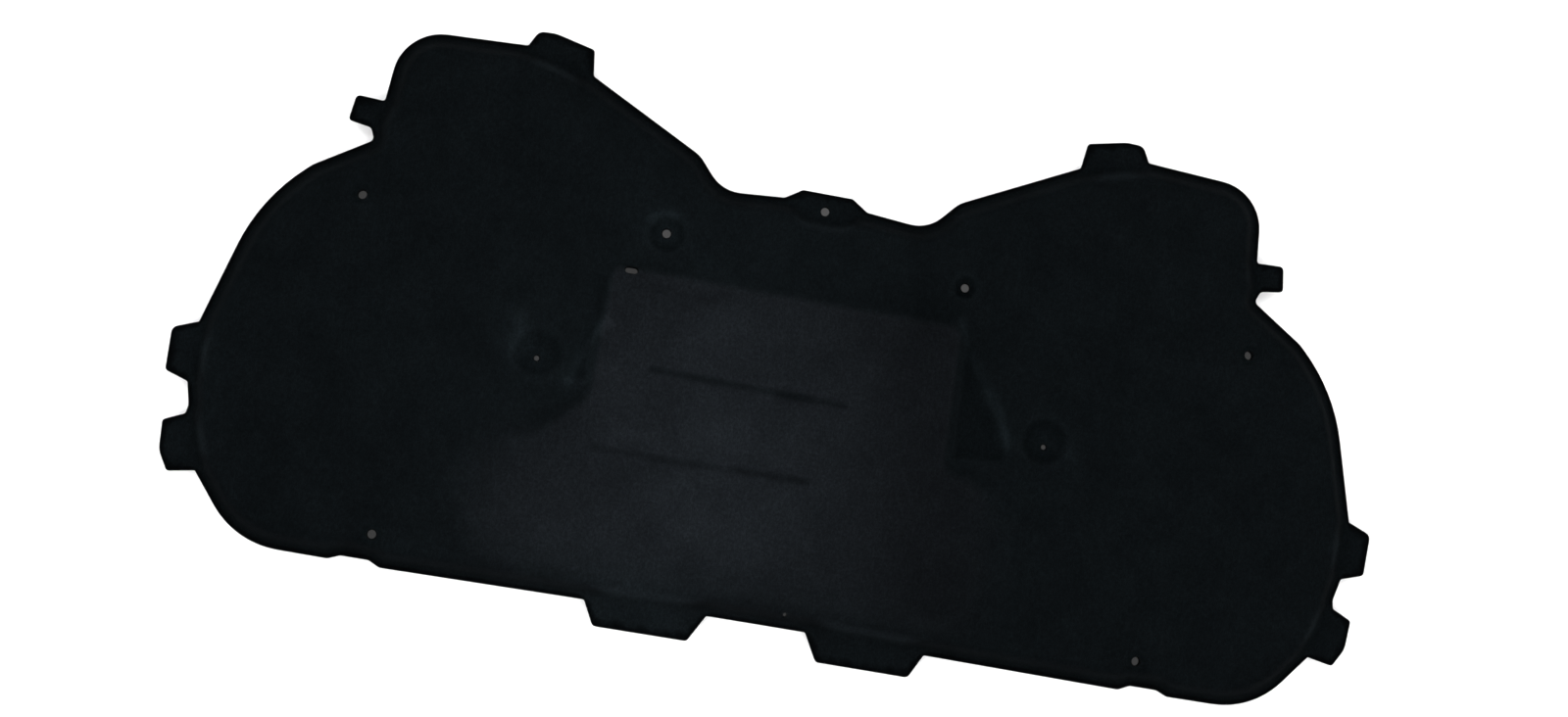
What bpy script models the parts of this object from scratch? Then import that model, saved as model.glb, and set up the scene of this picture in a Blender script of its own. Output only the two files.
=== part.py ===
# Hood insulation pad: one sheet of fibre felt, pressed in a mould and trimmed to its outline.
# It lies on its flat back face at z = 0, with the face that looks at the engine up.
# Sizes are metres. X is 0 on the pad's centre line, and Y is shifted last, to centre the pad.
import math

import bmesh
import bpy
from mathutils import Matrix, Vector

# Heights above the back face
rim_height = 0.0035
body_height = 0.012
panel_height = 0.017
trough_floor = 0.0065
pocket_floor = 0.0045
seat_floor = 0.0095
groove_depth = 0.0028

# How far each pressed wall runs sideways, and the round along its top edge
rim_width = 0.009
body_run = 0.006
trough_run = 0.007
side_pocket_run = 0.011
upper_pocket_run = 0.0066
seat_run = 0.003
groove_run = 0.0035
edge_round = 0.0025

# How far the body reaches sideways, up and down from the middle, without its tabs
side_reach = 0.6243
upper_reach = 0.2889
lower_reach = 0.2805

# Clip holes of the right half, mirrored to the left one. Those near an edge go with it.
shoulder_hole_from_side = 0.1403
shoulder_hole_from_top = 0.1904
lower_hole_from_side = 0.2143
lower_hole_from_bottom = 0.0315
shoulder_hole = Vector((side_reach - shoulder_hole_from_side, upper_reach - shoulder_hole_from_top))
lower_hole = Vector((side_reach - lower_hole_from_side, lower_hole_from_bottom - lower_reach))
upper_hole = Vector((0.1635, 0.1160))
side_hole = Vector((0.2755, -0.0390))
middle_hole = Vector((0.0, 0.1703))
clip_hole_radius = 0.0045
side_hole_radius = 0.0026

# Holes with no mirrored twin
pin_hole_from_bottom = 0.0195
pin_hole = Vector((0.0283, pin_hole_from_bottom - lower_reach))
pin_hole_radius = 0.0018
slot_place = Vector((-0.1935, 0.0695))
slot_length = 0.013
slot_width = 0.0066

# Pressed hollows round the holes, measured at their tops
seat_radius = 0.0135
side_pocket_radius = 0.030
side_pocket_shift = Vector((0.0, 0.006))
upper_left_pocket_radius = 0.023
upper_right_pocket_radius = 0.0155

# Places that the corners of the edge are measured from
lower_middle = Vector((0.0, -lower_reach))
below_lower_hole = Vector((lower_hole.x, -lower_reach))
lower_side = Vector((side_reach, -lower_reach))
side = Vector((side_reach, 0.0))
upper_side = Vector((side_reach, upper_reach))
middle = Vector((0.0, 0.0))

# Right half of the body's edge, from the lower middle round to the upper middle. Each corner
# is where it is measured from, its x and y from there, and its round. Tabs are left out here.
edge_corners = {
    "lower tab inner root": (lower_middle, 0.0530, 0.0043, 0.002),
    "lower tab outer root": (lower_middle, 0.1825, 0.0007, 0.003),
    "step start": (below_lower_hole, -0.0135, -0.0015, 0.006),
    "step floor start": (below_lower_hole, -0.0010, 0.0045, 0.006),
    "step floor end": (below_lower_hole, 0.0280, 0.0045, 0.006),
    "step end": (below_lower_hole, 0.0405, -0.0007, 0.006),
    "lower corner": (lower_side, -0.0778, 0.0, 0.094),
    "lower side tab foot": (side, -0.0248, -0.2143, 0.002),
    "lower side tab head": (side, -0.0043, -0.1580, 0.003),
    "waist": (side, -0.0060, -0.1490, 0.010),
    "upper side tab foot": (side, -0.0002, -0.1250, 0.003),
    "upper side tab head": (side, 0.0, -0.0620, 0.002),
    "flank": (upper_side, -0.0372, -0.2121, 0.200),
    "shoulder": (upper_side, -0.0833, -0.1677, 0.020),
    "notch": (upper_side, -0.1407, -0.1306, 0.005),
    "shoulder tab foot": (upper_side, -0.1355, -0.1181, 0.005),
    "shoulder tab head": (upper_side, -0.1443, -0.0874, 0.003),
    "lobe corner": (upper_side, -0.1505, -0.0074, 0.052),
    "top tab outer root": (upper_side, -0.2813, 0.0, 0.003),
    "top tab inner root": (upper_side, -0.3553, -0.0197, 0.004),
    "knee": (middle, 0.1425, 0.2058, 0.030),
    "bay": (middle, 0.1130, 0.1722, 0.040),
    "bump root": (middle, 0.0455, 0.1778, 0.006),
}

# Tip corners of each tab, under the name of the corner where its root starts:
# distance along the root, reach out of it, and round
tab_tips = {
    "lower tab inner root": [(0.0170, 0.0287, 0.005), (0.1168, 0.0262, 0.006)],
    "lower side tab foot": [(0.0047, 0.0281, 0.004), (0.0276, 0.0322, 0.022), (0.0579, 0.0236, 0.004)],
    "upper side tab foot": [(0.0080, 0.0245, 0.005), (0.0530, 0.0258, 0.008)],
    "shoulder tab foot": [(-0.0030, 0.0250, 0.004), (0.0250, 0.0292, 0.005)],
    "top tab outer root": [(0.0040, 0.0190, 0.010), (0.0215, 0.0245, 0.030), (0.0655, 0.0262, 0.004)],
    "bump root": [(0.0182, 0.0118, 0.004)],
}

# The raised body draws back here, so that the middle clip hole is in the pressed rim
body_bay = {
    "bump root": [(0.0140, 0.0, 0.006), (0.0260, -0.0130, 0.010)],
}

# Raised middle panel, wider towards the lower edge. Each corner of its foot has its x and y, its
# round, and how far the slope runs inward on the side that starts there: short beside the
# troughs, and long where the panel fades into the body.
short_slope = 0.0085
upper_slope = 0.014
diagonal_slope = 0.016
shoulder_slope = 0.022
long_slope = 0.034
lower_slope = 0.026
panel_from_bottom = 0.0205
panel_bottom = panel_from_bottom - lower_reach
panel_corners = [
    (0.168, 0.077, 0.016, upper_slope),
    (-0.215, 0.077, 0.014, short_slope),
    (-0.217, -0.062, 0.018, diagonal_slope),
    (-0.260, -0.106, 0.012, shoulder_slope),
    (-0.332, -0.128, 0.045, long_slope),
    (-0.334, panel_bottom, 0.045, lower_slope),
    (0.238, panel_bottom, 0.045, long_slope),
    (0.234, -0.086, 0.036, shoulder_slope),
    (0.173, -0.077, 0.010, short_slope),
]

# Flat strips that make up each of those slopes, from its foot to its top
slope_strips = 5

# Sunk troughs on both sides of the panel, narrow at their upper ends
left_trough_corners = [
    (-0.2180, 0.016, 0.003),
    (-0.2310, 0.000, 0.010),
    (-0.2470, -0.044, 0.010),
    (-0.2470, -0.058, 0.006),
    (-0.2200, -0.055, 0.004),
]
right_trough_corners = [
    (0.1715, 0.068, 0.003),
    (0.1755, -0.072, 0.004),
    (0.2350, -0.068, 0.008),
    (0.2390, -0.044, 0.010),
    (0.2210, 0.002, 0.010),
]

# Grooves pressed across the panel, from the middle of one end to the middle of the other
upper_groove_ends = [(-0.160, -0.0300), (0.060, -0.0330)]
lower_groove_ends = [(-0.206, -0.1225), (0.034, -0.1195)]
groove_width = 0.011

# How far a joined or cutting shape runs past the surface it meets, how deep the foot of the
# panel's slopes lies in the body, and how fine arcs are
overlap = 0.0015
foot_depth = 0.0002
arc_error = 0.00015
arc_step = math.radians(20)


def clear_scene():
    for item in list(bpy.data.objects):
        bpy.data.objects.remove(item)


def felt_material():
    felt = bpy.data.materials.new("pressed_black_felt")
    felt.use_nodes = True
    surface = felt.node_tree.nodes["Principled BSDF"]
    surface.inputs["Base Color"].default_value = (0.011, 0.0125, 0.0135, 1.0)
    surface.inputs["Roughness"].default_value = 0.95
    surface.inputs["Metallic"].default_value = 0.0
    return felt


def mirror(point):
    return Vector((-point.x, point.y))


# One corner given by its distance along a root and its reach out of it
def corner_on_root(root_start, root_end, distance, reach, corner_round):
    start = Vector(root_start[:2])
    along = (Vector(root_end[:2]) - start).normalized()
    outward = Vector((along.y, -along.x))
    place = start + along * distance + outward * reach
    return (place.x, place.y, corner_round)


# Corners of the whole edge, counter-clockwise, with extra ones put in on both halves
def whole_edge(extras):
    roots = []
    for origin, x, y, corner_round in edge_corners.values():
        roots.append((origin.x + x, origin.y + y, corner_round))
    x, y, corner_round = roots[-1]
    half = []
    for name, root, root_end in zip(edge_corners, roots, roots[1:] + [(-x, y, corner_round)]):
        half.append(root)
        for extra in extras.get(name, []):
            half.append(corner_on_root(root, root_end, *extra))
    return half + [(-x, y, corner_round) for x, y, corner_round in reversed(half)]


# Points of a closed outline with its corners rounded, each side moved inward by its own inset.
# Each corner keeps its number of points at every inset, so that outlines can be lofted.
def outline_with_insets(corners, insets):
    points = []
    for index, (x, y, corner_round) in enumerate(corners):
        here = Vector((x, y))
        before = (here - Vector(corners[index - 1][:2])).normalized()
        after = (Vector(corners[(index + 1) % len(corners)][:2]) - here).normalized()
        turn = math.atan2(before.cross(after), before.dot(after))
        inward = Vector((-before.y - after.y, before.x + after.x)).normalized()
        inset_before, inset_after = insets[index - 1], insets[index]
        corner = here + (inset_before * after - inset_after * before) / math.sin(turn)
        side = math.copysign(1.0, turn)
        radius = max(corner_round - side * (inset_before + inset_after) / 2, arc_error)
        centre = corner + inward * side * radius / math.cos(turn / 2)
        spoke = Vector((before.y, -before.x)) * side * radius
        finest = 2 * math.acos(1 - min(arc_error / corner_round, 0.5))
        steps = math.ceil(abs(turn) / min(arc_step, finest))
        for step in range(steps + 1):
            points.append(centre + Matrix.Rotation(turn * step / steps, 2) @ spoke)
    return points


def outline_points(corners, inset=0.0):
    return outline_with_insets(corners, [inset] * len(corners))


# Points of a circle, or of an oblong hole when it has a length
def round_points(centre, radius, length=0.0):
    steps = 2 * math.ceil(math.pi / arc_step)
    points = []
    for step in range(steps):
        angle = 2 * math.pi * (step + 0.5) / steps
        stretch = math.copysign(length / 2, math.cos(angle))
        points.append(centre + Vector((radius * math.cos(angle) + stretch, radius * math.sin(angle))))
    return points


# Closed solid through a stack of outlines, each with its height, lowest first
def add_loft(shape, levels):
    rings = []
    for points, height in levels:
        rings.append([shape.verts.new((point.x, point.y, height)) for point in points])
    count = len(rings[0])
    for low, high in zip(rings, rings[1:]):
        for index in range(count):
            following = (index + 1) % count
            shape.faces.new((low[index], low[following], high[following], high[index]))
    shape.faces.new(rings[0][::-1])
    shape.faces.new(rings[-1])


# Wall that leans in as it rises from a surface, with a round along its top edge
def add_raised(shape, corners, inset, surface, top, run):
    rise = top - surface
    levels = [
        (-overlap * run / rise, surface - overlap),
        (run * (1 - 0.7 * edge_round / rise), top - 0.7 * edge_round),
        (run + 0.25 * edge_round, top - 0.2 * edge_round),
        (run + edge_round, top),
    ]
    add_loft(shape, [(outline_points(corners, inset + inward), height) for inward, height in levels])


# Slopes that ease out of a surface and into a flat top, with their own run on each side
def add_sloped(shape, corners_with_slopes, surface, top):
    corners = [corner[:3] for corner in corners_with_slopes]
    foot = surface - foot_depth
    levels = [(outline_points(corners), surface - overlap)]
    for strip in range(slope_strips + 1):
        share = strip / slope_strips
        eased = share * share * (3 - 2 * share)
        insets = [slope * share for x, y, corner_round, slope in corners_with_slopes]
        levels.append((outline_with_insets(corners, insets), foot + eased * (top - foot)))
    add_loft(shape, levels)


# Walls of a cutter for a hollow: how far inward at which height, upright above the surface
def sunk_levels(surface, floor, run):
    return [
        (run, floor),
        (0.55 * run, floor + 0.18 * (surface - floor)),
        (0.0, surface),
        (0.0, panel_height + overlap),
    ]


def add_sunk(shape, corners, surface, floor, run):
    levels = sunk_levels(surface, floor, run)
    add_loft(shape, [(outline_points(corners, inward), height) for inward, height in levels])


def add_dish(shape, centre, radius, floor, run):
    levels = sunk_levels(body_height, floor, run)
    add_loft(shape, [(round_points(centre, radius - inward), height) for inward, height in levels])


def add_hole(shape, centre, radius, length=0.0):
    points = round_points(centre, radius, length)
    add_loft(shape, [(points, -overlap), (points, panel_height + overlap)])


# Rectangle round a groove, with its ends rounded off
def groove_corners(ends):
    start, end = [Vector(place) for place in ends]
    along = (end - start).normalized()
    across = Vector((-along.y, along.x)) * groove_width / 2
    end_round = 0.49 * groove_width
    corners = [start - across, end - across, end + across, start + across]
    return [(corner.x, corner.y, end_round) for corner in corners]


def mesh_object(name, shape):
    mesh = bpy.data.meshes.new(name)
    shape.to_mesh(mesh)
    shape.free()
    item = bpy.data.objects.new(name, mesh)
    bpy.context.scene.collection.objects.link(item)
    return item


# Joins a shape to the pad, or cuts it out of the pad
def combine(pad, name, shape, operation):
    tool = mesh_object(name, shape)
    tool.parent = pad
    tool.hide_render = True
    tool.display_type = "WIRE"
    step = pad.modifiers.new(name, "BOOLEAN")
    step.operation = operation
    step.solver = "EXACT"
    step.object = tool


# Pressed edge and tabs, at the rim's height over the whole outline
def trimmed_sheet():
    shape = bmesh.new()
    points = outline_points(whole_edge(tab_tips))
    add_loft(shape, [(points, 0.0), (points, rim_height)])
    pad = mesh_object("hood_insulation_pad", shape)
    ends = [point.y for point in points]
    pad.location.y = -(min(ends) + max(ends)) / 2
    return pad


def raised_body():
    shape = bmesh.new()
    add_raised(shape, whole_edge(body_bay), rim_width, rim_height, body_height, body_run)
    return shape


def raised_panel():
    shape = bmesh.new()
    add_sloped(shape, panel_corners, body_height, panel_height)
    return shape


def troughs():
    shape = bmesh.new()
    for corners in (left_trough_corners, right_trough_corners):
        add_sunk(shape, corners, body_height, trough_floor, trough_run)
    return shape


def grooves():
    shape = bmesh.new()
    for ends in (upper_groove_ends, lower_groove_ends):
        corners = groove_corners(ends)
        add_sunk(shape, corners, panel_height, panel_height - groove_depth, groove_run)
    return shape


def pockets():
    shape = bmesh.new()
    for place in (side_hole, mirror(side_hole)):
        centre = place + side_pocket_shift
        add_dish(shape, centre, side_pocket_radius, pocket_floor, side_pocket_run)
    for place, radius in (
        (upper_hole, upper_right_pocket_radius),
        (mirror(upper_hole), upper_left_pocket_radius),
    ):
        add_dish(shape, place, radius, pocket_floor, upper_pocket_run)
    return shape


def clip_seats():
    shape = bmesh.new()
    for place in (shoulder_hole, lower_hole):
        for centre in (place, mirror(place)):
            add_dish(shape, centre, seat_radius, seat_floor, seat_run)
    return shape


def holes():
    shape = bmesh.new()
    for place in (shoulder_hole, lower_hole, upper_hole):
        for centre in (place, mirror(place)):
            add_hole(shape, centre, clip_hole_radius)
    for centre in (side_hole, mirror(side_hole)):
        add_hole(shape, centre, side_hole_radius)
    add_hole(shape, middle_hole, clip_hole_radius)
    add_hole(shape, pin_hole, pin_hole_radius)
    add_hole(shape, slot_place, slot_width / 2, slot_length - slot_width)
    return shape


def build_pad():
    clear_scene()
    pad = trimmed_sheet()
    combine(pad, "raised_body", raised_body(), "UNION")
    combine(pad, "raised_panel", raised_panel(), "UNION")
    combine(pad, "troughs", troughs(), "DIFFERENCE")
    combine(pad, "grooves", grooves(), "DIFFERENCE")
    combine(pad, "pockets", pockets(), "DIFFERENCE")
    combine(pad, "clip_seats", clip_seats(), "DIFFERENCE")
    combine(pad, "holes", holes(), "DIFFERENCE")
    pad.data.materials.append(felt_material())


build_pad()
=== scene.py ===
import math

import bpy
import numpy as np
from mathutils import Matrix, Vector, geometry, noise


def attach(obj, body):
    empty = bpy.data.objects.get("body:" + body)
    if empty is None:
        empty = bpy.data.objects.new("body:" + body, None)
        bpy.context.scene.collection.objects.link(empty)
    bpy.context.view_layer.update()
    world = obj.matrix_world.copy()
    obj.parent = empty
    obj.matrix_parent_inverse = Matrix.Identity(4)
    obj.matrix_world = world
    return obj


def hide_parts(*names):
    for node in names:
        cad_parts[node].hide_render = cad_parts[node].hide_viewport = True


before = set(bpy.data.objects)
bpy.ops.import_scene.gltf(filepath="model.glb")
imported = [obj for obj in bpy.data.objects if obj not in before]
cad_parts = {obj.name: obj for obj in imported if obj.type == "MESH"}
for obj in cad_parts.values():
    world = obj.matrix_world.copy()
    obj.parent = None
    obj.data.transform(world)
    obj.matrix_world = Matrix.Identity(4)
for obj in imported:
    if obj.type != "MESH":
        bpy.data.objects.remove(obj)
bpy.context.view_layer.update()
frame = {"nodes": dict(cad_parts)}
print("packed model loaded:", ", ".join(frame["nodes"]))

placeDigits = 6  # places are told apart to this many digits of a metre
tiny = 10**-placeDigits
allClear = 0.999  # reading of a 0 or 1 grid where every cell round the place has 1

# The pad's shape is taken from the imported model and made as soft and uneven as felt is.
pad = {
    "node": "hood_insulation_pad",
    "name": "pressed_felt_pad",
    "slot": "felt",
    "fill": 1.0,  # pressed hard in its mould, nothing slack
    "mapStep": 0.001,  # grid on which the face's height is read
    "mapMargin": 0.012,
    "softness": 0.0022,  # how far felt rounds off what the mould has sharp
    "surroundings": 0.0055,  # a crest or a crease is told from the mean height this far round it
    "crest": 0.0016,  # height over the surroundings that counts as a whole crest
    "paleHeights": (0.0125, 0.0160),  # the raised panel starts to look paler, and wholly does
    "paleFade": 0.024,  # how far its paler look spreads below the fading lines
    "paleFadeY": (-0.075, -0.135),  # over the first y its edge is clear, under the next it fades
    "holeRadius": 0.0045,  # holes up to this size don't count as an edge
    # the outline's edge is coloured darker, by the share of felt within reach: where it
    # starts, and where it is whole
    "edgeDarkness": 2.2,
    "edgeReach": 0.0032,
    "edgeShares": (0.97, 0.77),
    # and the wall that rises from it gets painted shade, against the light the bright board throws on it
    "edgeWallPaintedShade": 0.95,
    "edgeWallReach": 0.014,
    "edgeWallShares": (0.99, 0.93),
    "edgeWallSlopes": (0.0, 0.8),
    "slopeSpread": 0.0012,  # slopes are evened out this far
    "wallStep": 0.0016,  # points on the pressed walls
    "wallSlope": 0.055,
    "slopeStep": 0.0032,  # points on gentle slopes
    "gentleSlope": 0.006,
    "flatStep": 0.0064,  # points where nothing happens
    "faceClear": (0.0011, 0.985),  # points have this share of felt round them, within this reach
    "edgeStep": 0.0021,  # points along the trimmed edge and round the holes
    "edgeSmoothing": (0.5, -0.53) * 4,  # in and out by turns, so that no loop shrinks
    "wander": 0.22,  # share of a step that a point is moved, so that no rows show
    "wanderSeed": 7,
    "swell": 0.00035,  # slow unevenness of the thick felt
    "swellLength": 0.085,
    "swellLayer": 3.7,  # where in the noise it is taken
    "swellHeights": (0.004, 0.010),  # none on the thin rim, all of it on the thick body
    "backStep": 0.024,
    "backClear": (0.004, 0.995),
    # rows down the trimmed edge: how far inside it, and share of the height there
    "edgeRows": [
        (0.00130, 1.00),
        (0.00060, 0.965),
        (0.00018, 0.86),
        (0.00000, 0.62),
        (0.00008, 0.30),
        (0.00035, 0.07),
        (0.00095, 0.00),
    ],
}

# Soft marks on the face, in millimetres: a line through places on it, its half width, how far
# the felt stands up there (less than 0: is pressed in), and how much paler (or darker) it is.
# The paler tone is painted light and the darker tone is painted shade.
marks = {
    # troughs: painted highlights on ridges and edges that face the lamp, painted shade at their feet and in
    # the fold, and painted light on the right trough's floor
    "left trough ridge": ([(-208, 10), (-220, -3), (-231, -28), (-239, -56)], 6.2, 0.6, 0.62),
    "left trough ridge end": ([(-238, -50), (-240, -58)], 8.0, 0.0, 0.28),
    "left panel edge": ([(-212, 60), (-213, 18)], 5.5, 0.0, 0.22),
    "left panel foot": ([(-222, 52), (-221, 22)], 6.0, -0.3, -0.22),
    "left fold": ([(-224, -74), (-246, -94), (-279, -119)], 12.0, -0.5, -0.22),
    "right trough ridge": ([(163, 78), (182, 42), (205, 8), (220, -12), (234, -44)], 5.8, 0.6, 0.58),
    "right trough ridge middle": ([(205, 6), (220, -12), (231, -36)], 8.5, 0.0, 0.34),
    "right trough floor": ([(173, 42), (180, -20), (178, -68)], 9.0, 0.0, 0.08),
    # pockets and clip seats: painted light in the hollows, and painted highlights on the walls that face the
    # lamp
    "left pocket wall": ([(-300, 0), (-297, -30)], 12.0, 0.0, 0.60),
    "left pocket floor": ([(-276, -30), (-274, -36)], 20.0, 0.0, 0.28),
    "right pocket floor": ([(276, -28), (275, -36)], 20.0, 0.0, 0.38),
    "right pocket edge": ([(292, -34), (309, -48)], 7.0, 0.0, 0.22),
    "upper pocket arc": ([(-182, 127), (-171, 134), (-157, 134)], 6.0, 0.0, 0.45),
    "left upper pocket": ([(-164, 117), (-162, 115)], 19.0, 0.0, 0.82),
    "right upper pocket": ([(162, 117), (164, 115)], 12.0, 0.0, 0.92),
    "left shoulder seat": ([(-485, 99), (-483, 98)], 11.0, 0.0, 0.26),
    "right shoulder seat": ([(483, 99), (485, 98)], 11.0, 0.0, 0.26),
    "left lower seat": ([(-411, -249), (-409, -250)], 11.0, 0.0, 0.30),
    "right lower seat": ([(409, -249), (411, -250)], 11.0, 0.0, 0.30),
    # lines, folds and grooves: the rise is real relief, and their paler or darker tone is painted light and
    # painted shade
    "line over the panel": ([(-180, 84), (-60, 85), (50, 82), (150, 86)], 10.0, -0.2, -0.03),
    "upper panel fold": ([(-162, 55), (-120, 53), (-88, 57)], 7.0, -0.4, -0.20),
    "small panel fold": ([(-178, -104), (-161, -100), (-144, -102)], 5.5, 0.3, 0.22),
    "upper groove": ([(-160, -29), (-110, -33), (-60, -30), (-5, -34)], 6.0, -0.2, 0.06),
    "upper groove deep end": ([(-112, -33), (-85, -33)], 8.0, -0.4, -0.16),
    "upper groove deep middle": ([(-12, -35), (12, -34)], 9.0, -0.6, -0.26),
    "lower groove": ([(-200, -122), (-140, -121), (-90, -124), (-40, -120)], 6.0, -0.2, 0.08),
    "lower groove deep left": ([(-134, -126), (-92, -125)], 9.0, -0.6, -0.24),
    "lower groove deep right": ([(-48, -120), (22, -121)], 8.0, -0.5, -0.20),
    # broad patches: painted pools of light, and painted shade where the light falls off
    "band under the panel": ([(-50, -254), (50, -257), (150, -252)], 14.0, 0.0, -0.10),
    "pale upper patch": ([(-92, 30), (-50, 28)], 42.0, 0.4, 0.20),
    "pale middle patch": ([(-90, -82), (-30, -98)], 30.0, 0.4, 0.18),
    "pale lower patch": ([(-80, -180), (-30, -200)], 38.0, 0.4, 0.24),
    "pale lower left": ([(-290, -210), (-130, -262)], 52.0, 0.0, 0.30),
    "pale left tabs": ([(-640, -75), (-645, -185)], 45.0, 0.0, 0.24),
    "pale lower tab": ([(-170, -300), (-90, -300)], 22.0, 0.0, 0.12),
    "painted shade, right side": ([(135, 60), (135, -60), (180, -220)], 52.0, 0.0, -0.36),
}


def cadPointsAndTriangles(item):
    mesh = item.data
    mesh.calc_loop_triangles()
    points = np.zeros(len(mesh.vertices) * 3, np.float32)
    corners = np.zeros(len(mesh.loop_triangles) * 3, np.int32)
    mesh.vertices.foreach_get("co", points)
    mesh.loop_triangles.foreach_get("vertices", corners)
    points = points.reshape(-1, 3).astype(float)
    # corners that share a place become one point
    whole, index = np.unique(np.round(points, placeDigits), axis=0, return_inverse=True)
    triangles = index.reshape(-1)[corners].reshape(-1, 3)
    return whole, triangles


def signedArea(loop):
    x, y = loop[:, 0], loop[:, 1]
    return 0.5 * float(np.sum(x * np.roll(y, -1) - np.roll(x, -1) * y))


# closed edges of the flat back, the outline first and then the holes
def backLoops(points, triangles):
    flat = triangles[np.all(points[triangles, 2] < tiny, axis=1)]
    edges = {}
    for a, b, c in flat:
        for start, end in ((a, b), (b, c), (c, a)):
            if (end, start) in edges:
                del edges[(end, start)]
            else:
                edges[(start, end)] = True
    following = {start: end for start, end in edges}
    loops = []
    while following:
        start = next(iter(following))
        chain = [start]
        here = following.pop(start)
        while here != start:
            chain.append(here)
            here = following.pop(here)
        loop = points[chain, :2]
        loops.append(loop if signedArea(loop) > 0 else loop[::-1])
    loops.sort(key=signedArea, reverse=True)
    return [loops[0]] + [loop[::-1] for loop in loops[1:]]  # holes run the other way


# evenly spaced points, with the facets of the arcs smoothed out
def finerLoop(loop, shape):
    points = []
    for start, end in zip(loop, np.roll(loop, -1, axis=0)):
        length = float(np.hypot(*(end - start)))
        parts = max(1, math.ceil(length / shape["edgeStep"]))
        for part in range(parts):
            points.append(start + (end - start) * part / parts)
    points = np.array(points)
    for strength in shape["edgeSmoothing"]:
        middle = (np.roll(points, 1, axis=0) + np.roll(points, -1, axis=0)) / 2
        points = points + strength * (middle - points)
    return points


def loopMovedIn(loop, distance):
    along = np.roll(loop, -1, axis=0) - np.roll(loop, 1, axis=0)
    along /= np.hypot(along[:, 0], along[:, 1])[:, None]
    inward = np.stack([-along[:, 1], along[:, 0]], axis=1)
    return loop + inward * distance


# height of the face over each cell of a grid, and where there is felt at all
def heightGrid(points, triangles, low, step, columns, rows):
    heights = np.zeros((rows, columns))
    for triangle in triangles:
        a, b, c = points[triangle]
        twice = (b[0] - a[0]) * (c[1] - a[1]) - (c[0] - a[0]) * (b[1] - a[1])  # its area
        if twice < tiny**2:  # faces down, or stands upright
            continue
        x0, x1 = min(a[0], b[0], c[0]), max(a[0], b[0], c[0])
        y0, y1 = min(a[1], b[1], c[1]), max(a[1], b[1], c[1])
        i0, i1 = math.floor((x0 - low[0]) / step), math.ceil((x1 - low[0]) / step) + 1
        j0, j1 = math.floor((y0 - low[1]) / step), math.ceil((y1 - low[1]) / step) + 1
        x = low[0] + (np.arange(i0, i1) + 0.5) * step
        y = low[1] + (np.arange(j0, j1) + 0.5) * step
        x, y = np.meshgrid(x, y)
        u = ((x - a[0]) * (c[1] - a[1]) - (c[0] - a[0]) * (y - a[1])) / twice
        v = ((b[0] - a[0]) * (y - a[1]) - (x - a[0]) * (b[1] - a[1])) / twice
        inside = (u >= -tiny) & (v >= -tiny) & (u + v <= 1 + tiny)
        z = a[2] + u * (b[2] - a[2]) + v * (c[2] - a[2])
        window = heights[j0:j1, i0:i1]
        np.maximum(window, np.where(inside, z, 0.0), out=window)
    return heights, (heights > 0).astype(float)


def blurred(grid, spread):
    reach = math.ceil(3 * spread)  # beyond it the weights are next to nothing
    weights = np.exp(-0.5 * (np.arange(-reach, reach + 1) / spread) ** 2)
    weights /= weights.sum()
    for axis in (0, 1):
        total = np.zeros_like(grid)
        for shift, weight in zip(range(-reach, reach + 1), weights):
            total += weight * np.roll(grid, shift, axis=axis)
        grid = total
    return grid


# blurred over felt alone, so that nothing sinks next to an edge
def blurredFelt(heights, felt, spread):
    leastFelt = 0.001
    return blurred(heights * felt, spread) / np.maximum(blurred(felt, spread), leastFelt)


# 0 up to the first limit, 1 from the second, and rising evenly between them
def rising(values, limits):
    first, last = limits
    return np.clip((values - first) / (last - first), 0, 1)


def readGrid(grid, low, step, places):
    lastCell = 1.001  # cells from the grid's end, so that each place has a next cell
    column = np.clip((places[:, 0] - low[0]) / step - 0.5, 0, grid.shape[1] - lastCell)
    row = np.clip((places[:, 1] - low[1]) / step - 0.5, 0, grid.shape[0] - lastCell)
    i, j = column.astype(int), row.astype(int)
    u, v = column - i, row - j
    lower = grid[j, i] * (1 - u) + grid[j, i + 1] * u
    upper = grid[j + 1, i] * (1 - u) + grid[j + 1, i + 1] * u
    return lower * (1 - v) + upper * v


# how far each cell of a grid stands up for the marks, and how much painted light or painted shade it gets
def markGrids(low, step, columns, rows):
    x = low[0] + (np.arange(columns) + 0.5) * step
    y = low[1] + (np.arange(rows) + 0.5) * step
    lift, paintedLightAndShade = np.zeros((rows, columns)), np.zeros((rows, columns))
    for line, halfWidth, rise, pale in marks.values():
        ends = np.array(line) / 1000
        halfWidth = halfWidth / 1000
        near = 3 * halfWidth  # beyond it nothing is left of the mark
        i0, i1 = np.searchsorted(x, [ends[:, 0].min() - near, ends[:, 0].max() + near])
        j0, j1 = np.searchsorted(y, [ends[:, 1].min() - near, ends[:, 1].max() + near])
        across, up = np.meshgrid(x[i0:i1], y[j0:j1])
        distance = np.full(across.shape, near)
        for start, end in zip(ends, ends[1:]):
            along = end - start
            share = ((across - start[0]) * along[0] + (up - start[1]) * along[1]) / (along @ along)
            share = np.clip(share, 0, 1)
            apart = np.hypot(across - start[0] - share * along[0], up - start[1] - share * along[1])
            distance = np.minimum(distance, apart)
        fading = np.exp(-((distance / halfWidth) ** 2))
        lift[j0:j1, i0:i1] += rise / 1000 * fading
        paintedLightAndShade[j0:j1, i0:i1] += pale * fading
    return lift, paintedLightAndShade


# how pale the panel looks: clear at its upper end, and faded out at its lower end
def paleGrid(soft, felt, low, step, shape):
    sharp = rising(soft, shape["paleHeights"])
    faded = blurredFelt(sharp, felt, shape["paleFade"] / step)
    y = low[1] + (np.arange(soft.shape[0]) + 0.5) * step
    return sharp + (faded - sharp) * rising(y, shape["paleFadeY"])[:, None]


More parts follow.
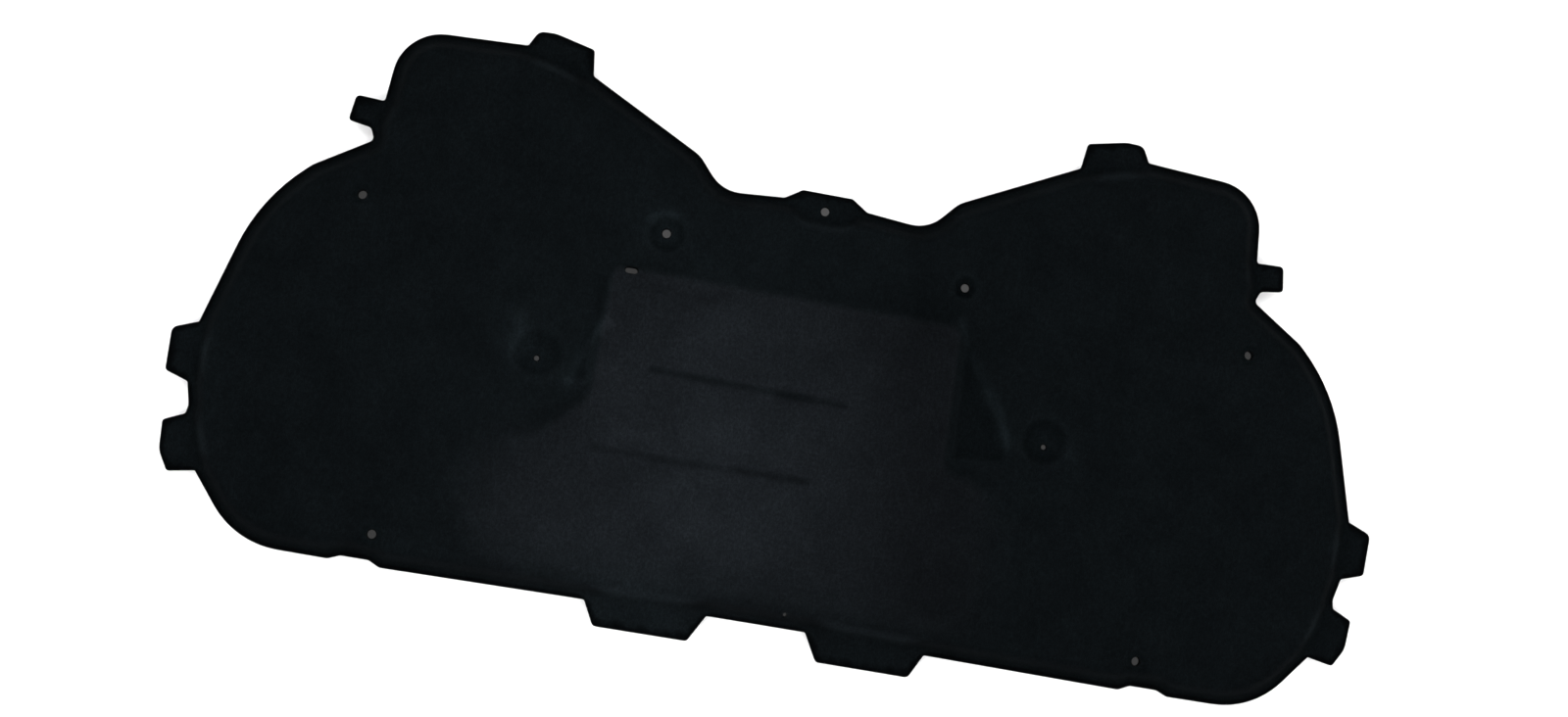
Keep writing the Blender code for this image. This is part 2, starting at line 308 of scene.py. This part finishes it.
# how much darker the outline's edge is coloured, and the painted shade on the wall that rises next to it
def edgeShade(steep, felt, step, shape):
    mostlyFelt = blurred(felt, shape["holeRadius"] / step) > 0.5
    filled = np.maximum(felt, mostlyFelt)
    edge = rising(blurred(filled, shape["edgeReach"] / step), shape["edgeShares"])
    nearEdge = rising(blurred(filled, shape["edgeWallReach"] / step), shape["edgeWallShares"])
    wall = rising(steep, shape["edgeWallSlopes"]) * nearEdge
    return edge * shape["edgeDarkness"] + wall * shape["edgeWallPaintedShade"]


# the face's height and looks, each as a grid over the whole pad that starts at low
def readFace(points, triangles, shape):
    step = shape["mapStep"]
    low = points[:, :2].min(axis=0) - shape["mapMargin"]
    size = points[:, :2].max(axis=0) + shape["mapMargin"] - low
    columns, rows = math.ceil(size[0] / step) + 2, math.ceil(size[1] / step) + 2
    heights, felt = heightGrid(points, triangles, low, step, columns, rows)
    lift, paintedLightAndShade = markGrids(low, step, columns, rows)
    soft = blurredFelt(heights, felt, shape["softness"] / step) + lift
    wide = blurredFelt(heights, felt, shape["surroundings"] / step)
    slopeY, slopeX = np.gradient(soft, step)
    steep = blurred(np.hypot(slopeX, slopeY) * felt, shape["slopeSpread"] / step)
    print("heights read:", columns, "x", rows, "cells")
    return {
        "low": low,
        "size": size,
        "felt": felt,
        "height": soft,
        "steep": steep,
        "ridge": soft - wide,
        "pale": paleGrid(soft, felt, low, step, shape),
        "paintedLightAndShade": paintedLightAndShade - edgeShade(steep, felt, step, shape),
    }


# which places have enough felt round them
def clearOfEdges(maps, step, places, reachAndShare):
    reach, share = reachAndShare
    clear = (blurred(maps["felt"], reach / step) > share).astype(float)
    return readGrid(clear, maps["low"], step, places) > allClear


# places for the face's points: close together on walls, far apart on flats
def facePlaces(maps, shape):
    chance = np.random.default_rng(shape["wanderSeed"])
    coarse, mapStep = shape["flatStep"], shape["mapStep"]
    cells = math.ceil(coarse / mapStep) + 1
    columns, rows = (math.ceil(length / coarse) for length in maps["size"])
    places = []
    for row in range(rows):
        for column in range(columns):
            corner = maps["low"] + np.array([column, row]) * coarse
            i, j = ((corner - maps["low"]) / mapStep).astype(int)
            window = maps["steep"][j : j + cells, i : i + cells]
            if window.size == 0:
                continue
            most = window.max()
            step = coarse
            if most > shape["wallSlope"]:
                step = shape["wallStep"]
            elif most > shape["gentleSlope"]:
                step = shape["slopeStep"]
            parts = round(coarse / step)
            for part in range(parts * parts):
                inside = np.array([part % parts + 0.5, part // parts + 0.5]) * step
                places.append(corner + inside + chance.uniform(-1, 1, 2) * shape["wander"] * step)
    places = np.array(places)
    return places[clearOfEdges(maps, mapStep, places, shape["faceClear"])]


# places for the back's points, in plain rows
def backPlaces(maps, shape):
    step = shape["backStep"]
    along, up = (np.arange(0.5, maps["size"][k] / step) * step + maps["low"][k] for k in (0, 1))
    places = np.array([(x, y) for x in along for y in up])
    return places[clearOfEdges(maps, shape["mapStep"], places, shape["backClear"])]


# which places have felt: inside the outline and in no hole
def hasFelt(loops, places):
    crossings = np.zeros(len(places), int)
    x, y = places[:, 0], places[:, 1]
    for loop in loops:
        for (x0, y0), (x1, y1) in zip(loop, np.roll(loop, -1, axis=0)):
            if y0 != y1:
                between = (y >= min(y0, y1)) & (y < max(y0, y1))
                crossings += between & (x < x0 + (y - y0) * (x1 - x0) / (y1 - y0))
    return crossings % 2 == 1


# triangles between closed loops and free places, nothing across a hole
def fillBetween(loops, places):
    edges, count = [], 0
    for loop in loops:
        edges += [(count + k, count + (k + 1) % len(loop)) for k in range(len(loop))]
        count += len(loop)
    everything = np.concatenate(loops + [places])
    spots = [Vector(place) for place in everything]
    wholeHull, sameSpot = 0, 1e-7
    made = geometry.delaunay_2d_cdt(spots, edges, [], wholeHull, sameSpot)
    origin = np.array([group[0] for group in made[3]])
    faces = origin[np.array(made[2])]
    onLoops = np.all(faces < count, axis=1)  # only these can lie across a hole or a bay
    keep = ~onLoops
    keep[onLoops] = hasFelt(loops, everything[faces[onLoops]].mean(axis=1))
    return faces[keep].tolist(), everything


def swellAt(places, shape):
    length = shape["swellLength"]
    swell = [noise.noise(Vector((x / length, y / length, shape["swellLayer"]))) for x, y in places]
    return np.array(swell) * shape["swell"]


def setNumbers(mesh, name, values):
    layer = mesh.attributes.new(name, "FLOAT", "POINT")
    layer.data.foreach_set("value", values.astype(np.float32))


def buildPad(shape):
    points, triangles = cadPointsAndTriangles(frame["nodes"][shape["node"]])
    maps = readFace(points, triangles, shape)
    low, step, edgeRows = maps["low"], shape["mapStep"], shape["edgeRows"]
    loops = [finerLoop(loop, shape) for loop in backLoops(points, triangles)]
    topLoops = [loopMovedIn(loop, edgeRows[0][0]) for loop in loops]
    faces, flat = fillBetween(topLoops, facePlaces(maps, shape))
    z = readGrid(maps["height"], low, step, flat)
    z = z + swellAt(flat, shape) * rising(z, shape["swellHeights"])
    vertices = [np.column_stack([flat, z])]
    materials = [0] * len(faces)
    print("face:", len(faces), "triangles")

    # the trimmed edge goes down in rows from the face's loops
    count, first = len(flat), 0
    lastRing = []
    for loop in loops:
        above = list(range(first, first + len(loop)))
        edgeHeight = z[above]
        for inset, share in edgeRows[1:]:
            vertices.append(np.column_stack([loopMovedIn(loop, inset), edgeHeight * share]))
            below = list(range(count, count + len(loop)))
            for k in range(len(loop)):
                following = (k + 1) % len(loop)
                faces.append([above[k], below[k], below[following], above[following]])
                materials.append(1)
            above, count = below, count + len(loop)
        lastRing += above
        first += len(loop)

    # the flat back closes the piece
    bottomLoops = [loopMovedIn(loop, edgeRows[-1][0]) for loop in loops]
    backFaces, backFlat = fillBetween(bottomLoops, backPlaces(maps, shape))
    known = len(lastRing)
    vertices.append(np.column_stack([backFlat[known:], np.zeros(len(backFlat) - known)]))
    for face in backFaces:
        corners = [lastRing[k] if k < known else count + k - known for k in face]
        faces.append(corners[::-1])
        materials.append(2)
    vertices = np.concatenate(vertices)
    print("whole pad:", len(faces), "faces,", len(vertices), "points")

    mesh = bpy.data.meshes.new(shape["name"])
    mesh.from_pydata(vertices.tolist(), [], faces)
    mesh.polygons.foreach_set("material_index", materials)
    mesh.polygons.foreach_set("use_smooth", [True] * len(mesh.polygons))
    ridge = readGrid(maps["ridge"], low, step, vertices[:, :2])
    setNumbers(mesh, "ridge", np.clip(ridge / shape["crest"], -1, 1))
    for name in ("pale", "paintedLightAndShade"):
        setNumbers(mesh, name, readGrid(maps[name], low, step, vertices[:, :2]))
    mesh.validate()
    piece = bpy.data.objects.new(shape["name"], mesh)
    bpy.context.scene.collection.objects.link(piece)
    return piece


# sRGB hex code to linear colour
def linear(code):
    values = [int(code[k : k + 2], 16) / 255 for k in (1, 3, 5)]
    return [v / 12.92 if v <= 0.04045 else ((v + 0.055) / 1.055) ** 2.4 for v in values] + [1.0]


# adds a node with its settings and its inputs: a value, a socket, or a node for its first output
def addNode(tree, kind, settings=None, inputs=None):
    node = tree.nodes.new(kind)
    for name, value in (settings or {}).items():
        setattr(node, name, value)
    for name, value in (inputs or {}).items():
        if isinstance(value, bpy.types.Node):
            value = value.outputs[0]
        if isinstance(value, bpy.types.NodeSocket):
            tree.links.new(value, node.inputs[name])
        else:
            node.inputs[name].default_value = value
    return node


# Loose fibres, all the tangles alike: thin curled lines where a slow noise crosses its middle.
fibre = {
    "length": 0.42,  # the smaller, the longer they lie along their way
    "detail": 2.0,
    "rough": 0.45,
    "curl": 0.9,
    "middle": 0.5,
    "width": 0.035,  # how near its middle the noise has to be
}

# Needle-punched polyester fleece, bonded and pressed on. It gives the eye a dead matt black
# with soft clouds, short tangled fibres, and paler ridges, which are painted highlights.
facing = {
    "name": "pressed_nonwoven_facing",
    "body": "#161c1f",
    "panel": "#1f2327",  # the raised panel is coloured paler
    "crease": "#0a0d0d",
    "creaseDepths": (-0.10, -1.0),  # a crease starts to hold shadow, and holds the most
    "creaseMost": 0.18,
    "contrast": 2.3,  # how much paler a full mark of painted light is
    # patches: their real size, how fine and rough they are, between which levels they show,
    # and how dark and pale they make it. Clouds are the uneven laying of the fleece, 30 to
    # 60 mm, and tufts are clumps of fibre, really 2 to 4 mm.
    "clouds": {"size": 0.045, "detail": 3.0, "rough": 0.55, "levels": (0.3, 0.7), "gives": (0.86, 1.14)},
    "tufts": {"size": 0.0035, "detail": 4.0, "rough": 0.6, "levels": (0.3, 0.7), "gives": (0.80, 1.20)},
    # tangles of loose fibre: gap between them, really under 1 mm and drawn coarser so that
    # they show, how they lie in degrees, and where their pattern starts
    "tangles": [
        (0.0050, 20.0, (0.13, 0.221, 0.0)),
        (0.0041, -25.0, (0.41, 0.697, 0.0)),
        (0.0019, 72.0, (0.67, 1.139, 0.0)),
    ],
    "fibreGain": 0.42,  # how much paler a fibre on top is than the fleece under it
    "fibreRelief": 0.45,  # how much fibres stand up beside the tufts
    "roughness": 0.93,
    "specular": 0.033,
    "ior": 1.5,
    "bump": 0.00030,
    "sheen": 0.0066,  # fine fibre ends catch a little light at low angles
    "sheenRoughness": 0.6,
    "sheenTint": "#9aa4ad",
}

# Die-cut edge of the felt. It gives the eye layers of fibre lying flat, a little paler.
cutEdge = {
    "name": "cut_felt_edge",
    "body": "#16191b",
    "fibre": "#24292b",
    # layers are really 0.2 mm, drawn coarser so that they show
    "layers": {"size": 0.0008, "detail": 4.0, "rough": 0.6, "levels": (0.48, 0.72), "gives": (0.0, 0.8)},
    "stretch": (0.2, 0.2, 1.0),  # long sideways, thin upward
    "roughness": 0.96,
    "specular": 0.033,
    "ior": 1.5,
    "bump": 0.00035,
}

# Raw back of the resin-bonded fibre felt. It gives the eye a coarse, flecked black.
backFelt = {
    "name": "resin_bonded_fibre_felt",
    "body": "#1b1e20",
    "fibre": "#2b2f32",
    "fleck": "#434646",
    "clouds": {"size": 0.030, "detail": 5.0, "rough": 0.62, "levels": (0.3, 0.7), "gives": (0.65, 1.4)},
    "flecks": {"size": 0.0022, "detail": 1.0, "rough": 0.5, "levels": (0.66, 0.74), "gives": (0.0, 0.7)},
    "tangles": [
        (0.0070, 65.0, (0.77, 1.309, 0.0)),
        (0.0062, 12.0, (0.29, 0.493, 0.0)),
        (0.0026, -40.0, (0.53, 0.901, 0.0)),
    ],
    "fibreMost": 0.55,  # how much of a fibre's own colour shows
    "fibreRelief": 0.5,
    "roughness": 0.96,
    "specular": 0.033,
    "ior": 1.5,
    "bump": 0.00045,
}


def newMaterial(look):
    material = bpy.data.materials.new(look["name"])
    material.use_nodes = True
    tree = material.node_tree
    tree.nodes.clear()
    finish = {"Roughness": look["roughness"], "Specular IOR Level": look["specular"], "IOR": look["ior"]}
    shader = addNode(tree, "ShaderNodeBsdfPrincipled", inputs=finish)
    addNode(tree, "ShaderNodeOutputMaterial", inputs={"Surface": shader})
    return material, tree, shader


# gives the shader its colour, and fine relief after a pattern's height
def dressShader(tree, shader, look, colour, height):
    relief = {"Strength": 1.0, "Distance": look["bump"], "Height": height}
    bump = addNode(tree, "ShaderNodeBump", inputs=relief)
    tree.links.new(colour, shader.inputs["Base Color"])
    tree.links.new(bump.outputs[0], shader.inputs["Normal"])


# a pattern of patches: its height, and what it gives between its levels
def addPatches(tree, place, pattern):
    grain = {"Scale": 1 / pattern["size"], "Detail": pattern["detail"], "Roughness": pattern["rough"]}
    height = addNode(tree, "ShaderNodeTexNoise", inputs={"Vector": place, **grain})
    limits = dict(zip(("From Min", "From Max", "To Min", "To Max"), pattern["levels"] + pattern["gives"]))
    given = addNode(tree, "ShaderNodeMapRange", inputs={"Value": height, **limits})
    return height, given


# one tangle: 1 along its fibres and 0 between them
def addTangle(tree, place, gap, turn, start):
    turned = (0.0, 0.0, math.radians(turn))
    way = {"Scale": (1.0, fibre["length"], 1.0), "Rotation": turned, "Location": start}
    placed = addNode(tree, "ShaderNodeMapping", inputs={"Vector": place, **way})
    grain = {"Detail": fibre["detail"], "Roughness": fibre["rough"], "Distortion": fibre["curl"]}
    curl = addNode(tree, "ShaderNodeTexNoise", inputs={"Vector": placed, "Scale": 1 / gap, **grain})
    off = addNode(tree, "ShaderNodeMath", {"operation": "SUBTRACT"}, {0: curl, 1: fibre["middle"]})
    size = addNode(tree, "ShaderNodeMath", {"operation": "ABSOLUTE"}, {0: off})
    limits = {"From Min": 0.0, "From Max": fibre["width"], "To Min": 1.0, "To Max": 0.0}
    return addNode(
        tree, "ShaderNodeMapRange", {"interpolation_type": "SMOOTHSTEP"}, {"Value": size, **limits}
    )


def allTangles(tree, place, tangles):
    fibres = 0.0
    for gap, turn, start in tangles:
        lines = addTangle(tree, place, gap, turn, start)
        fibres = addNode(tree, "ShaderNodeMath", {"operation": "MAXIMUM"}, {0: lines, 1: fibres})
    return fibres


# A Mix node for colours has its share at 0, its two colours at 6 and 7, and the mix at output 2.
def facingMaterial(look):
    material, tree, shader = newMaterial(look)
    place = addNode(tree, "ShaderNodeTexCoord").outputs["Object"]
    ridge, pale, paintedLightAndShade = (
        addNode(tree, "ShaderNodeAttribute", {"attribute_name": name}).outputs["Fac"]
        for name in ("ridge", "pale", "paintedLightAndShade")
    )
    clouds = addPatches(tree, place, look["clouds"])[1]
    tuftHeight, tufts = addPatches(tree, place, look["tufts"])
    fibres = allTangles(tree, place, look["tangles"])
    body, panel, crease = linear(look["body"]), linear(look["panel"]), linear(look["crease"])
    colour = addNode(tree, "ShaderNodeMix", {"data_type": "RGBA"}, {0: pale, 6: body, 7: panel}).outputs[2]
    # clouds and clumps lighten and darken it, fibres are paler, and the marks paint light and shade on it
    uneven = addNode(tree, "ShaderNodeMath", {"operation": "MULTIPLY"}, {0: clouds, 1: tufts})
    onTop = addNode(
        tree, "ShaderNodeMath", {"operation": "MULTIPLY_ADD"}, {0: fibres, 1: look["fibreGain"], 2: 1.0}
    )
    paintedGain = addNode(tree, "ShaderNodeMath", {"operation": "POWER"}, {0: look["contrast"], 1: paintedLightAndShade})
    for gain in (uneven, onTop, paintedGain):
        colour = addNode(tree, "ShaderNodeVectorMath", {"operation": "SCALE"}, {0: colour, "Scale": gain})
    # creases hold shadow
    limits = dict(zip(("From Min", "From Max"), look["creaseDepths"]))
    creased = addNode(
        tree, "ShaderNodeMapRange", inputs={"Value": ridge, "To Max": look["creaseMost"], **limits}
    )
    inputs = {0: creased, 6: colour, 7: crease}
    colour = addNode(tree, "ShaderNodeMix", {"data_type": "RGBA"}, inputs).outputs[2]
    heights = {0: fibres, 1: look["fibreRelief"], 2: tuftHeight}
    height = addNode(tree, "ShaderNodeMath", {"operation": "MULTIPLY_ADD"}, heights)
    dressShader(tree, shader, look, colour, height)
    shader.inputs["Sheen Weight"].default_value = look["sheen"]
    shader.inputs["Sheen Roughness"].default_value = look["sheenRoughness"]
    shader.inputs["Sheen Tint"].default_value = linear(look["sheenTint"])
    return material


def cutEdgeMaterial(look):
    material, tree, shader = newMaterial(look)
    place = addNode(tree, "ShaderNodeTexCoord").outputs["Object"]
    stretched = addNode(tree, "ShaderNodeMapping", inputs={"Vector": place, "Scale": look["stretch"]})
    height, layers = addPatches(tree, stretched, look["layers"])
    body, top = linear(look["body"]), linear(look["fibre"])
    colour = addNode(tree, "ShaderNodeMix", {"data_type": "RGBA"}, {0: layers, 6: body, 7: top}).outputs[2]
    dressShader(tree, shader, look, colour, height)
    return material


def backMaterial(look):
    material, tree, shader = newMaterial(look)
    place = addNode(tree, "ShaderNodeTexCoord").outputs["Object"]
    cloudHeight, clouds = addPatches(tree, place, look["clouds"])
    flecks = addPatches(tree, place, look["flecks"])[1]
    fibres = allTangles(tree, place, look["tangles"])
    body = linear(look["body"])[:3]
    colour = addNode(tree, "ShaderNodeVectorMath", {"operation": "SCALE"}, {0: body, "Scale": clouds})
    showing = addNode(tree, "ShaderNodeMath", {"operation": "MULTIPLY"}, {0: fibres, 1: look["fibreMost"]})
    for share, code in ((showing, look["fibre"]), (flecks, look["fleck"])):
        inputs = {0: share, 6: colour, 7: linear(code)}
        colour = addNode(tree, "ShaderNodeMix", {"data_type": "RGBA"}, inputs).outputs[2]
    heights = {0: fibres, 1: look["fibreRelief"], 2: cloudHeight}
    height = addNode(tree, "ShaderNodeMath", {"operation": "MULTIPLY_ADD"}, heights)
    dressShader(tree, shader, look, colour, height)
    return material


feltPad = buildPad(pad)
for material in (facingMaterial(facing), cutEdgeMaterial(cutEdge), backMaterial(backFelt)):
    feltPad.data.materials.append(material)
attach(feltPad, "root")
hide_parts(pad["node"])
print("felt pad dressed")

# Matt painted board under the pad. It gives the eye a plain, even white.
board = {
    "name": "matt_white_board",
    "colour": "#f7f7f7",
    "half": 4.0,  # of its side
    "drop": 0.0004,  # it lies this far under the pad
    "glow": 0.04,  # a little light comes through it, seen in the pad's holes
    "roughness": 0.9,
    "specular": 0.1,
    "ior": 1.5,
}

# A weak dome, paler at its foot than overhead.
dome = {
    "colour": "#ffffff",
    "foot": 3.0,  # how much brighter it is at its foot
    "top": 0.05,
    "curve": 3.0,  # how fast it darkens upward
}

# One soft lamp low over the panel, and low ones all round that keep the board white.
lamps = {
    "padPlace": (-0.09, -0.11, 0.22),
    "padSize": 0.24,
    "padPower": 0.20,  # watts
    "boardCount": 8,
    "boardRise": 16.0,  # degrees, too low to shine down the holes
    "boardSpread": 14.0,
    "boardPower": 2.6,  # watts on each square metre
}


def buildBoard(look):
    half, z = look["half"], -look["drop"]
    mesh = bpy.data.meshes.new("studio_board")
    corners = [(-half, -half, z), (half, -half, z), (half, half, z), (-half, half, z)]
    mesh.from_pydata(corners, [], [(0, 1, 2, 3)])
    plate = bpy.data.objects.new("studio_board", mesh)
    bpy.context.scene.collection.objects.link(plate)
    material, _, shader = newMaterial(look)
    shader.inputs["Base Color"].default_value = linear(look["colour"])
    shader.inputs["Emission Color"].default_value = linear(look["colour"])
    shader.inputs["Emission Strength"].default_value = look["glow"]
    mesh.materials.append(material)
    return plate


def buildDome(look):
    world = bpy.data.worlds.new("white_dome")
    world.use_nodes = True
    tree = world.node_tree
    direction = addNode(tree, "ShaderNodeTexCoord").outputs["Generated"]
    upward = addNode(tree, "ShaderNodeSeparateXYZ", inputs={0: direction}).outputs["Z"]
    slant = addNode(tree, "ShaderNodeMath", {"operation": "SUBTRACT", "use_clamp": True}, {0: 1.0, 1: upward})
    curve = addNode(tree, "ShaderNodeMath", {"operation": "POWER"}, {0: slant, 1: look["curve"]})
    strength = addNode(
        tree, "ShaderNodeMath", {"operation": "MULTIPLY_ADD"}, {0: curve, 1: look["foot"], 2: look["top"]}
    )
    background = tree.nodes["Background"]
    background.inputs["Color"].default_value = linear(look["colour"])
    tree.links.new(strength.outputs[0], background.inputs["Strength"])
    bpy.context.scene.world = world


# a collection of one object, for lamps that light nothing else
def alone(name, item):
    collection = bpy.data.collections.new(name)
    collection.objects.link(item)
    return collection


def addLamp(name, kind, settings, lit):
    light = bpy.data.lights.new(name, kind)
    for key, value in settings.items():
        setattr(light, key, value)
    lamp = bpy.data.objects.new(name, light)
    lamp.visible_camera = False
    lamp.light_linking.receiver_collection = lit
    bpy.context.scene.collection.objects.link(lamp)
    return lamp


def buildLamps(look, studioBoard):
    disk = {"shape": "DISK", "size": look["padSize"], "energy": look["padPower"]}
    padLamp = addLamp("pad_lamp", "AREA", disk, alone("pad_alone", feltPad))
    padLamp.location = look["padPlace"]
    sun = {"energy": look["boardPower"], "angle": math.radians(look["boardSpread"])}
    lit = alone("board_alone", studioBoard)
    tilt = math.radians(90 - look["boardRise"])
    for number in range(look["boardCount"]):
        lamp = addLamp("board_lamp", "SUN", sun, lit)
        lamp.rotation_euler = (tilt, 0.0, math.tau * number / look["boardCount"])


studioBoard = buildBoard(board)
buildDome(dome)
buildLamps(lamps, studioBoard)
bpy.context.scene.view_settings.view_transform = "Standard"  # blacks stay as deep as they are
print("studio set")

view = {
    "place": (-0.2036, -0.1860, 2.0778),
    "turn": (4.334, -5.934, 9.622),  # degrees
    "lens": 45.0,  # millimetres, as the sensor is
    "sensor": 36.0,
}


def placeCamera(look):
    camera = bpy.data.objects.new("photo_view", bpy.data.cameras.new("photo_view"))
    camera.data.lens = look["lens"]
    camera.data.sensor_width = look["sensor"]
    camera.data.sensor_fit = "HORIZONTAL"
    camera.location = look["place"]
    camera.rotation_euler = [math.radians(angle) for angle in look["turn"]]
    bpy.context.scene.collection.objects.link(camera)
    bpy.context.scene.camera = camera


placeCamera(view)
print("camera placed")

bpy.context.view_layer.update()
